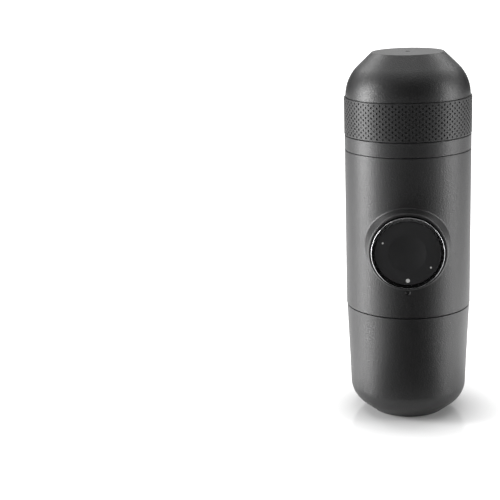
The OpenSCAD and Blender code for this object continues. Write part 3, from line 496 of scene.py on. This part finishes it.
def casingLoops(c, grid, rays):
    # loops of points, each a function of the ray's number: from the inner wall through the bore,
    # over the lip and the flare, and back along the outer wall
    half = rays // 2
    topRays, sideRays = grid["topRays"], grid["sideRays"]
    lip = Vector((c["lipRadius"], c["frontDepth"] - c["lipEdge"]))
    mid, foot = Vector(c["midFlare"]), Vector(c["footFlare"])

    def edgePoint(i):
        # turn about the upright axis and height, round the unrolled wall's outline from the top middle
        side = 1
        if i > half:
            i, side = rays - i, -1
        if i <= topRays:
            return side * math.pi * i / topRays, c["high"]
        if i <= topRays + sideRays:
            share = (i - topRays) / sideRays
            return side * math.pi, c["high"] + (c["low"] - c["high"]) * share
        return side * math.pi * (half - i) / topRays, c["low"]

    def rayAngle(i):
        return math.pi / 2 - 2 * math.pi * i / rays

    def wallDepth(i, radius, reach):
        return math.sqrt(max(radius ** 2 - (reach * math.cos(rayAngle(i))) ** 2, 0))

    def aboutBoss(i, reach, depth):
        a = rayAngle(i)
        return Vector((reach * math.cos(a), -depth, pistonHeight + reach * math.sin(a)))

    def between(i, radius, reach, share):
        # from a circle about the boss out to the wall's outline, in the unrolled wall
        a = rayAngle(i)
        turn = math.asin(min(1, reach * math.cos(a) / radius))
        height = pistonHeight + reach * math.sin(a)
        farTurn, farHeight = edgePoint(i)
        turn += (farTurn - turn) * share
        height += (farHeight - height) * share
        return Vector((radius * math.sin(turn), -radius * math.cos(turn), height))

    def findFoot(i):
        # where the boss's flare meets the round wall, found by halving, and the fillet's three points
        low, high = 0.0, 1.0
        for _ in range(grid["halvings"]):
            t = (low + high) / 2
            p = bezier(lip, mid, foot, t)
            if p.y > wallDepth(i, c["radius"], p.x):
                low = t
            else:
                high = t
        meet = bezier(lip, mid, foot, low)
        wallEnd = low * (1 - c["footFillet"] / max(1e-6, (meet - lip).length))
        reach = meet.x + c["footFillet"]
        beyond = Vector((reach, wallDepth(i, c["radius"], reach)))
        return wallEnd, (bezier(lip, mid, foot, wallEnd), meet, beyond)

    feet = [findFoot(i) for i in range(rays)]

    def innerPoint(i, share):
        return between(i, c["innerRadius"], c["startRadius"], 1 - share)

    def lipPoint(i, share):
        a = math.pi / 2 * share
        return aboutBoss(i, c["lipRadius"] - c["lipEdge"] * (1 - math.sin(a)),
                         c["frontDepth"] - c["lipEdge"] * (1 - math.cos(a)))

    def flarePoint(i, share):
        return aboutBoss(i, *bezier(lip, mid, foot, feet[i][0] * share))

    def footPoint(i, share):
        return aboutBoss(i, *bezier(*feet[i][1], share))

    def nearPoint(i, share):
        start = feet[i][1][2].x
        reach = start + (c["blendRadius"] - start) * share
        return aboutBoss(i, reach, wallDepth(i, c["radius"], reach))

    def farPoint(i, share):
        return between(i, c["radius"], c["blendRadius"], share ** grid["farCrowding"])

    loops = []

    def addLoops(point, count, first=1):
        for k in range(first, count + 1):
            loops.append(lambda i, share=k / count: point(i, share))

    addLoops(innerPoint, grid["innerLoops"], first=0)
    loops.append(lambda i: aboutBoss(i, c["boreRadius"], wallDepth(i, c["innerRadius"], c["boreRadius"])))
    mouth = [(c["boreRadius"], c["seatDepth"]), (c["seatRadius"], c["seatDepth"])]
    mouth += [(c["seatRadius"] + out, c["frontDepth"] - back) for out, back in c["mouthEdge"]]
    for reach, depth in mouth:
        loops.append(lambda i, reach=reach, depth=depth: aboutBoss(i, reach, depth))
    addLoops(lipPoint, grid["lipLoops"], first=0)
    addLoops(flarePoint, grid["flareLoops"])
    addLoops(footPoint, grid["footLoops"])
    addLoops(nearPoint, grid["blendLoops"])
    addLoops(farPoint, grid["farLoops"])
    return loops


def growLoops(loops, rays):
    # a circle of vertices that know their ray, extruded from loop to loop
    bm = bmesh.new()
    ray = bm.verts.layers.int.new("ray")
    first = bmesh.ops.create_circle(bm, cap_ends=False, segments=rays, radius=1)["verts"]
    v, edge = first[0], first[0].link_edges[0]
    for i in range(rays):
        v[ray] = i
        v = edge.other_vert(v)
        edge = [e for e in v.link_edges if e is not edge][0]
    for v in bm.verts:
        v.co = loops[0](v[ray])
    edges = bm.edges[:]
    for loop in loops[1:]:
        grown = bmesh.ops.extrude_edge_only(bm, edges=edges)["geom"]
        edges = [g for g in grown if isinstance(g, bmesh.types.BMEdge)]
        for v in onlyVerts(grown):
            v.co = loop(v[ray])
    bmesh.ops.remove_doubles(bm, verts=bm.verts[:], dist=1e-3)
    return bm


def closeRims(bm, c):
    def near(v, height):
        return abs(v.co.z - height) < 1e-3

    for height in (c["high"], c["low"]):
        rims = [e for e in bm.edges if e.is_boundary and all(near(v, height) for v in e.verts)]
        bmesh.ops.bridge_loops(bm, edges=rims)
    bmesh.ops.recalc_face_normals(bm, faces=bm.faces[:])
    rims = [e for e in bm.edges if all(
        (near(v, c["high"]) or near(v, c["low"])) and abs(v.co.xy.length - c["radius"]) < 1e-3
        for v in e.verts)]
    bmesh.ops.bevel(bm, geom=rims, offset=c["edge"], offset_type="OFFSET", segments=2, profile=0.5,
                    affect="EDGES", material=-1)


def pressIndex(bm, c):
    # small round index below the boss, pressed into a finer patch of the wall
    mark = Vector((0, -c["radius"], c["indexHeight"]))
    patch = [e for e in bm.edges if all((v.co - mark).length < c["indexPatch"] for v in e.verts)]
    bmesh.ops.subdivide_edges(bm, edges=patch, cuts=4, use_grid_fill=True)
    for v in bm.verts:
        away = Vector((v.co.x, v.co.z - c["indexHeight"])).length / c["indexRadius"]
        if away < c["indexBrim"] and v.co.y < -c["radius"] + 1.5:  # the front of the wall, outside
            v.co.y += c["indexDepth"] * min(1, max(0, (c["indexBrim"] - away) / c["indexFlank"]))


def bodyCasing(c, grid):
    rays = 2 * (2 * grid["topRays"] + grid["sideRays"])
    bm = growLoops(casingLoops(c, grid, rays), rays)
    closeRims(bm, c)
    pressIndex(bm, c)
    return bm


casingMesh = bodyCasing(casing, casingGrid)
finishPiece("bodyWall", casingMesh, "body", "pump_body", ["body_shell"], sharp=40)
print("body modelled")


# water tank, with the ribs of its thread inside the mouth
tank = {
    "mouthRadius": 29.65, "top": 53.46, "edge": 0.25, "boreRadius": 26.7, "boreEnd": 42.7, "boreEdge": 0.2,
    "roundRadius": 28.0, "roundTop": 13.8, "arc": 12, "flank": 51, "flatRadius": 18, "flatEdge": 0.5,
    "wall": 2.4, "stepOut": 0.1, "stepDown": 1.5, "floorEdge": 1.0,
    "gateRadius": 7, "gateFlank": 0.4, "gateDepth": 0.25,
    "ribStarts": (20, 200), "ribCount": 5, "ribPitch": 22, "ribSweep": 15,  # angles in degrees
    "ribHeight": 46, "ribLead": 8, "ribDepth": 0.8, "ribSink": 0.4,
    "ribRoot": 0.9, "ribCrest": 0.5,  # half widths
}


def tankOutline(t):
    reach = math.tan(math.radians(t["flank"] / 2))
    slope = math.tan(math.radians(t["flank"]))
    corner = t["roundTop"] - t["arc"] * reach
    innerArc = t["arc"] - t["wall"]
    innerWall = t["roundRadius"] - t["wall"]
    innerCorner = t["roundTop"] - innerArc * reach
    return [
        (0, t["gateDepth"]), (t["gateRadius"], t["gateDepth"]), (t["gateRadius"] + t["gateFlank"], 0),
        (t["flatRadius"], 0, t["flatEdge"]), (t["roundRadius"], corner, t["arc"]),
        (t["roundRadius"], t["roundTop"]), (t["mouthRadius"], t["top"], t["edge"]),
        (t["boreRadius"], t["top"], t["boreEdge"]), (t["boreRadius"], t["boreEnd"]),
        (innerWall + t["stepOut"], t["boreEnd"] - t["stepDown"]), (innerWall, t["roundTop"]),
        (innerWall, innerCorner, innerArc),
        (innerWall - (innerCorner - t["wall"]) * slope, t["wall"], t["floorEdge"]), (0, t["wall"]),
    ]


def threadedTank(t):
    bm = turned(tankOutline(t), steps=256, arcStep=3)
    root, crest = t["boreRadius"] + t["ribSink"], t["boreRadius"] - t["ribDepth"]
    wide, narrow = t["ribRoot"], t["ribCrest"]
    for start in t["ribStarts"]:
        for i in range(t["ribCount"]):
            z = t["ribHeight"] + t["ribLead"] * i * t["ribPitch"] / 360
            section = ((root, z - wide), (crest, z - narrow), (crest, z + narrow), (root, z + wide))
            addSegment(bm, section, start + i * t["ribPitch"] - t["ribSweep"] / 2, t["ribSweep"], steps=8)
    bmesh.ops.recalc_face_normals(bm, faces=bm.faces[:])
    return bm


finishPiece("tankShell", threadedTank(tank), "tank", "tank", ["water_tank"])
print("tank modelled")


# knob: rim, dished face with three dots, and its sleeve; backs, fronts, bed and face are depths
knob = {
    "radius": 16.65, "back": 36.1, "backEdge": 0.5, "front": 40, "edge": 0.32,
    "bedRadius": 15.1, "bed": 37.7, "screwHole": 2.1,
    "capRadius": 14.95, "capGap": 0.1, "face": 39.7, "capEdge": 0.3,
    "dishRadius": 8.5, "dishDepth": 1.0, "dishEdge": 7,
    "hubRadius": 11.2, "hubBore": 10.52, "hubBack": 33.2, "boreEdge": 0.15, "hubEdge": 0.2, "hubFillet": 0.8,
    "lugAngles": (90, 270), "lugHalf": 22, "lugReach": 12.2, "lugSink": 0.2,
    "lugBack": 33.4, "lugFront": 34.6,
    "sleeveRadius": 10.5, "sleeveBore": 9.6, "sleeveBack": -1, "sleeveEdge": 0.3, "sleeveGap": 0.05,
    # (angle seen from the front, from the right towards the top, reach, radius)
    "dots": ((-90, 12.8, 0.95), (156.7, 12.3, 0.44), (-32.3, 12.3, 0.44)),
    "dotSink": 0.03, "dotHeight": 0.06, "dotEdge": 0.25, "dotCrown": 0.02,
}


def knobRim(k):
    bm = turned([
        (k["screwHole"], k["back"]), (k["hubBore"], k["back"]), (k["hubBore"], k["hubBack"], k["boreEdge"]),
        (k["hubRadius"], k["hubBack"], k["hubEdge"]), (k["hubRadius"], k["back"], k["hubFillet"]),
        (k["radius"], k["back"], k["backEdge"]), (k["radius"], k["front"], k["edge"]),
        (k["bedRadius"], k["front"]), (k["bedRadius"], k["bed"]), (k["screwHole"], k["bed"]),
        (k["screwHole"], k["back"]),
    ], steps=192)
    inner, outer, back, front = k["hubRadius"] - k["lugSink"], k["lugReach"], k["lugBack"], k["lugFront"]
    section = ((inner, back), (outer, back), (outer, front), (inner, front))
    for middle in k["lugAngles"]:  # bayonet lugs, sunk a little into the hub
        addSegment(bm, section, middle - k["lugHalf"], 2 * k["lugHalf"], steps=16)
    bmesh.ops.recalc_face_normals(bm, faces=bm.faces[:])
    return ontoPistonAxis(bm)


def knobFace(k):
    lift = math.atan2(k["dishDepth"], k["dishRadius"]) * 2
    dishArc = k["dishRadius"] / math.sin(lift)
    corner = dishArc * math.tan(lift / 2)
    seat = k["bed"] + k["capGap"]
    return ontoPistonAxis(turned([
        (0, k["face"] - k["dishDepth"]), (corner, k["face"] - k["dishDepth"], dishArc),
        (k["dishRadius"], k["face"], k["dishEdge"]), (k["capRadius"], k["face"], k["capEdge"]),
        (k["capRadius"], seat), (0, seat),
    ], steps=192, arcStep=1.5))


def knobDots(k):
    bm = bmesh.new()
    for angle, reach, radius in k["dots"]:
        a = math.radians(angle)
        at = Matrix.Translation((reach * math.cos(a), reach * math.sin(a), k["face"] - k["dotSink"]))
        disc = bmesh.ops.create_circle(bm, cap_ends=True, segments=40, radius=radius, matrix=at)["verts"]
        top = bmesh.ops.extrude_face_region(bm, geom=[disc[0].link_faces[0]])["geom"]
        bmesh.ops.translate(bm, verts=onlyVerts(top), vec=(0, 0, k["dotHeight"]))
        lid = [g for g in top if isinstance(g, bmesh.types.BMFace)]
        bmesh.ops.inset_individual(bm, faces=lid, thickness=radius * k["dotEdge"], depth=k["dotCrown"])
    bmesh.ops.recalc_face_normals(bm, faces=bm.faces[:])
    return ontoPistonAxis(bm)


def sleeve(k):
    front = k["back"] - k["sleeveGap"]
    return ontoPistonAxis(turned([
        (k["sleeveBore"], k["sleeveBack"]), (k["sleeveRadius"], k["sleeveBack"], k["sleeveEdge"]),
        (k["sleeveRadius"], front), (k["sleeveBore"], front), (k["sleeveBore"], k["sleeveBack"]),
    ], steps=128))


finishPiece("knobRimRing", knobRim(knob), "rim", "knob", ["knob_rim"])
finishPiece("knobDish", knobFace(knob), "knob", "knob", ["knob_cap"])
finishPiece("knobDots", knobDots(knob), "dot", "knob")
finishPiece("pistonTube", sleeve(knob), "chrome", "piston", ["piston_sleeve"])
print("knob modelled")


# the other nodes keep the frame's shapes, merged and smoothed
insideFinish = {
    "outlet_head": "head", "outlet_end_disc": "disc", "nozzle_ring": "nozzle", "outlet_funnel": "funnel",
    "head_gasket": "rubber", "filter_basket": "basket", "basket_screen": "steel", "neck_collar": "collar",
    "cup_seal": "rubber", "upper_bulkhead": "bulkhead", "shower_plate": "steel", "shower_screw": "steel",
    "pump_cylinder": "pump", "cylinder_end_plug": "bulkhead", "rod_bush": "pump",
    "inlet_valve": "silicone", "outlet_valve": "silicone", "lower_bulkhead": "neck",
    "intake_filter": "steel", "air_vent_valve": "silicone", "lower_screws": "steel", "upper_screws": "steel",
    "guide_ring": "neck", "piston_wiper": "rubber", "return_spring": "spring", "plunger_rod": "pump",
    "plunger_seal": "rubber", "knob_screw": "steel", "tank_seal": "rubber",
}


def smoothCopy(node, finish):
    source = frame["nodes"][node]
    bm = bmesh.new()
    bm.from_mesh(source.data)
    bmesh.ops.remove_doubles(bm, verts=bm.verts[:], dist=1e-6)
    name = node + "Smooth"
    addPiece(name, asMesh(name, bm), finish, source["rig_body"], [node], weighted=False)


for nodeName, finishName in insideFinish.items():
    smoothCopy(nodeName, finishName)
print("inside parts smoothed:", len(insideFinish))


# floor, lamps and world, in metres and degrees; azimuths run from the front towards the right
studio = {
    "floorSize": 12.0, "floorColour": (0.80, 0.80, 0.80), "floorRough": 0.10,
    "paintedGlowNear": 0.023, "paintedGlowFar": 0.077,  # painted light: where the floor's painted glow starts, nil nearer the object, and where it reaches full white
    "worldFill": 0.35,  # the world's light on the object, where 1 is white
    "lamps": {
        # name: (azimuth, elevation, distance, middle height, width, height, brightness)
        "leftBox": (-82, 0, 0.55, 0.205, 0.17, 0.40, 21.0),
        "rightBox": (82, 0, 0.55, 0.205, 0.12, 0.40, 10.8),
        "backLeft": (-130, 44, 0.80, 0.09, 0.24, 0.24, 6.0),
        "backRight": (130, 44, 0.80, 0.09, 0.24, 0.24, 4.2),
        "overhead": (180, 70, 0.80, 0.09, 0.30, 0.30, 4.5),
    },
    "stripLift": 0.003,
    "floorStrips": {
        # name: (azimuth, near, far, width, brightness) of strips on the floor that shine upwards
        "leftStrip": (-77, 0.07, 0.40, 0.20, 1.7),
        "rightStrip": (92, 0.07, 0.40, 0.20, 0.75),
    },
}

flags = {
    "aimHeight": 0.09, "feltColour": (0.012, 0.012, 0.012), "feltRough": 0.9,
    "tableInner": 0.05, "tableRadius": 0.6, "tableSpread": 50, "tableLift": 0.0004,
    "cards": {
        # name: (from azimuth, to azimuth, distance, height)
        "frontFlag": (-75, 75, 1.2, 1.9),
        "leftRearFlag": (-162, -112, 1.2, 0.6),
        "rightRearFlag": (112, 162, 1.2, 0.6),
    },
}


def seenDirectly(tree):
    # 1 for what the camera sees, also mirrored or through glass, and 0 for the light on the object
    path = addNode(tree, "ShaderNodeLightPath").outputs
    straight = compute(tree, "ADD", path["Is Camera Ray"], path["Is Glossy Ray"])
    return compute(tree, "ADD", straight, path["Is Transmission Ray"], clamp=True)


def layFloor(s):
    bm = bmesh.new()
    bmesh.ops.create_grid(bm, x_segments=8, y_segments=8, size=s["floorSize"] / 2)
    floor = addObject("studioFloor", asMesh("studioFloor", bm))
    finish, tree, shader = newFinish("studioPaper")
    paper = addNode(tree, "ShaderNodeTexNoise", {"Scale": 3.0, "Detail": 2.0})
    tint = addNode(tree, "ShaderNodeMapRange", {"Value": paper.outputs[0], "To Min": 0.985, "To Max": 1.015})
    tree.links.new(toned(tree, s["floorColour"], tint.outputs[0]), shader.inputs["Base Color"])
    shader.inputs["Roughness"].default_value = s["floorRough"]
    # painted light: a glow painted on the floor, nil at the object's foot and growing to full white away
    # from it, so that the floor stays darker round the foot, where its real shadow and mirrored foot show
    away = addNode(tree, "ShaderNodeVectorMath", {0: objectPlace(tree)}, operation="LENGTH")
    paintedGlowRamp = addNode(tree, "ShaderNodeMapRange", {"Value": away.outputs["Value"], "From Min": s["paintedGlowNear"],
                                                 "From Max": s["paintedGlowFar"]})
    # painted light: the floor's graded glow, seen by the camera and in reflections
    glow = compute(tree, "MULTIPLY", seenDirectly(tree), paintedGlowRamp.outputs[0])
    tree.links.new(glow, shader.inputs["Emission Strength"])
    shader.inputs["Emission Color"].default_value = (1, 1, 1, 1)
    floor.data.materials.append(finish)


def addLamp(name, width, height, brightness, place, turn):
    data = bpy.data.lights.new(name, "AREA")
    data.shape = "RECTANGLE"
    data.size, data.size_y = width, height
    data.energy = math.pi * width * height * brightness  # the watts that make its face so bright
    lamp = addObject(name, data)
    lamp.location, lamp.rotation_euler = place, turn
    lamp.visible_camera = False


def hangLamp(name, azimuth, elevation, distance, middle, width, height, brightness):
    a, e = math.radians(azimuth), math.radians(elevation)
    ahead = Vector((math.sin(a) * math.cos(e), -math.cos(a) * math.cos(e), math.sin(e)))
    place = ahead * distance + Vector((0, 0, middle))
    addLamp(name, width, height, brightness, place, (-ahead).to_track_quat("-Z", "Y").to_euler())


def layStrip(name, lift, azimuth, near, far, width, brightness):
    a = math.radians(azimuth)
    reach = (near + far) / 2
    place = (reach * math.sin(a), -reach * math.cos(a), lift)
    addLamp(name, width, far - near, brightness, place, (math.pi, 0, -a))


def arcEdge(azimuthFrom, azimuthTo, distance, z, steps):
    # one open arc about the upright axis
    bm = bmesh.new()
    a = math.radians(azimuthFrom)
    start = bm.verts.new((math.sin(a) * distance, -math.cos(a) * distance, z))
    bmesh.ops.spin(bm, geom=[start], cent=(0, 0, 0), axis=(0, 0, 1),
                   angle=math.radians(azimuthTo - azimuthFrom), steps=steps)
    return bm


def setFlag(name, bm, f):
    # black card of the studio: it shapes reflections, and neither the camera nor shadows nor fill see it
    bm.normal_update()
    aim = Vector((0, 0, f["aimHeight"]))
    turnedAway = [face for face in bm.faces if face.normal.dot(aim - face.calc_center_median()) < 0]
    bmesh.ops.reverse_faces(bm, faces=turnedAway)
    flag = addObject(name, asMesh(name, bm))
    finish, tree, shader = newFinish(name + "Felt")
    felt = addNode(tree, "ShaderNodeTexNoise", {"Scale": 400.0})
    tree.links.new(toned(tree, f["feltColour"], felt.outputs[0]), shader.inputs["Base Color"])
    shader.inputs["Roughness"].default_value = f["feltRough"]
    shader.inputs["Specular IOR Level"].default_value = 0
    # from behind it is clear, so that the floor doesn't mirror it
    side = addNode(tree, "ShaderNodeNewGeometry").outputs["Backfacing"]
    clear = addNode(tree, "ShaderNodeBsdfTransparent")
    either = addNode(tree, "ShaderNodeMixShader", {0: side, 1: shader.outputs[0], 2: clear.outputs[0]})
    tree.links.new(either.outputs[0], tree.nodes["Material Output"].inputs["Surface"])
    flag.data.materials.append(finish)
    flag.visible_camera = flag.visible_shadow = flag.visible_diffuse = flag.visible_transmission = False


def setFlags(f):
    # a flat fan on the table in front of the object, and upright cards further off
    bm = arcEdge(-f["tableSpread"], f["tableSpread"], f["tableInner"], f["tableLift"], steps=48)
    wide = bmesh.ops.extrude_edge_only(bm, edges=bm.edges[:])["geom"]
    grow = f["tableRadius"] / f["tableInner"]
    bmesh.ops.scale(bm, vec=(grow, grow, 1), verts=onlyVerts(wide))
    setFlag("tableFlag", bm, f)
    for name, (start, end, distance, height) in f["cards"].items():
        bm = arcEdge(start, end, distance, 0, steps=24)
        high = bmesh.ops.extrude_edge_only(bm, edges=bm.edges[:])["geom"]
        bmesh.ops.translate(bm, vec=(0, 0, height), verts=onlyVerts(high))
        setFlag(name, bm, f)


def lightWorld(s):
    world = bpy.data.worlds.new("studioWorld")
    scene.world = world
    world.use_nodes = True
    tree = world.node_tree
    level = addNode(tree, "ShaderNodeMapRange",
                    {"Value": seenDirectly(tree), "To Min": s["worldFill"], "To Max": 1.0})
    tree.nodes["Background"].inputs["Color"].default_value = (1, 1, 1, 1)
    tree.links.new(level.outputs[0], tree.nodes["Background"].inputs["Strength"])


layFloor(studio)
setFlags(flags)
for lampName, values in studio["lamps"].items():
    hangLamp(lampName, *values)
for stripName, values in studio["floorStrips"].items():
    layStrip(stripName, studio["stripLift"], *values)
lightWorld(studio)
scene.view_settings.view_transform = "Standard"
print("studio set")
